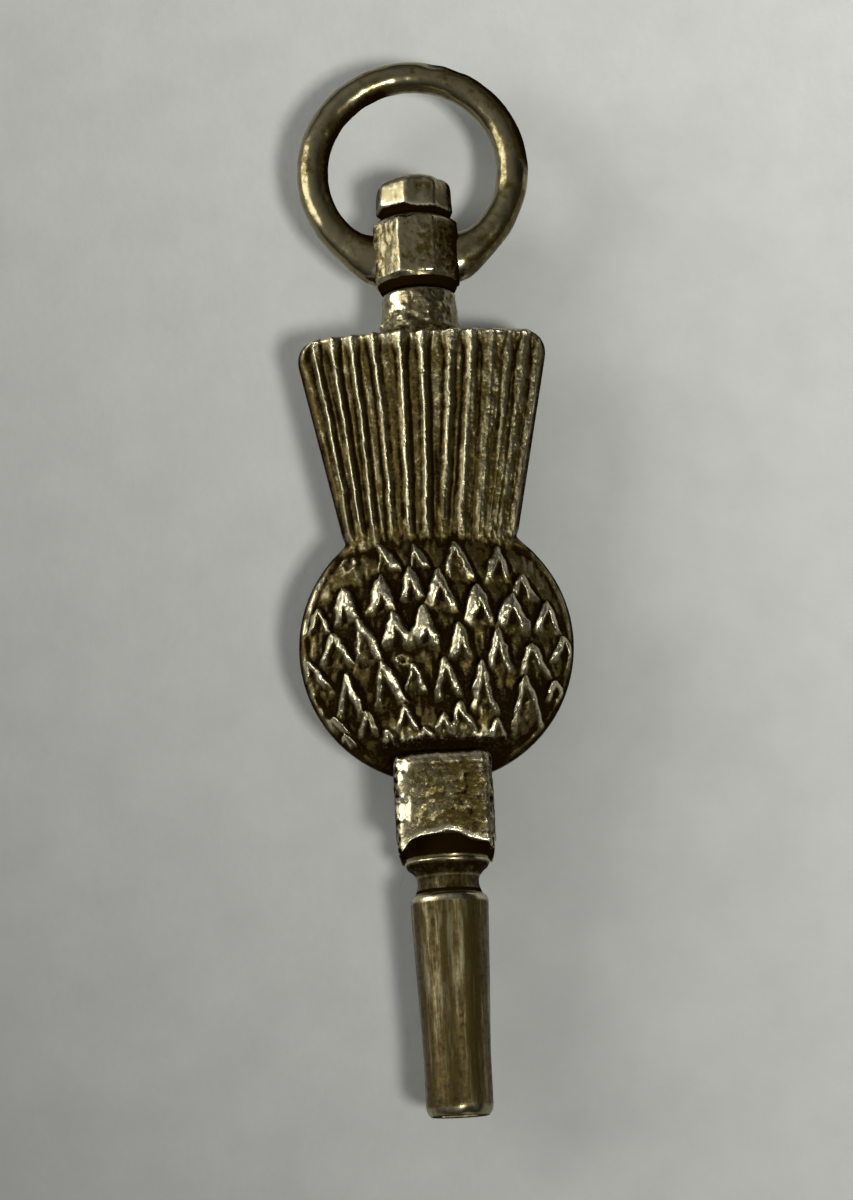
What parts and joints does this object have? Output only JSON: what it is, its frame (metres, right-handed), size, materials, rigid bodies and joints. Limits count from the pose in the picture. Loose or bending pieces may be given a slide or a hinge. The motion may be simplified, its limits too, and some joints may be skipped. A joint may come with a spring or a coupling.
{
  "type": "watch key",
  "caption": "Figural watch key: swivel bow ring on an eight-sided collar, hollow thistle body, square ferrule and a tapered pipe with a square winding socket.",
  "frame": {"origin": "centre of the key's outline, on the table that the back of the thistle lies on", "axes": "+Y along the key from the mouth of the pipe to the bow, +Z out of the front of the thistle, +X across"},
  "size_m": [0.011, 0.0432, 0.0057],
  "materials": {
    "ring_brass": "polished by handling, dark in the hollows",
    "turned_brass": "turned, worn satin with a brown patina",
    "cast_brass": "chased relief, worn bright on the crests and nearly black in the grooves",
    "ferrule_brass": "filed and mottled, olive patina",
    "stem_steel": "plain drawn rod, never seen"
  },
  "bodies": {
    "key": {"swivel_rivet": "turned_brass", "neck_stub": "cast_brass", "thistle_front": "cast_brass", "thistle_back": "cast_brass", "core_stem": "stem_steel", "ferrule": "ferrule_brass", "winding_pipe": "turned_brass"},
    "bow": {"bow_ring": "ring_brass", "bow_collar": "turned_brass"}
  },
  "joints": [
    {"name": "bow_swivel", "type": "hinge", "parent": "key", "child": "bow", "pos_m": [0, 0.01314, 0.00286], "axis": [0, 1, 0], "continuous": true}
  ]
}
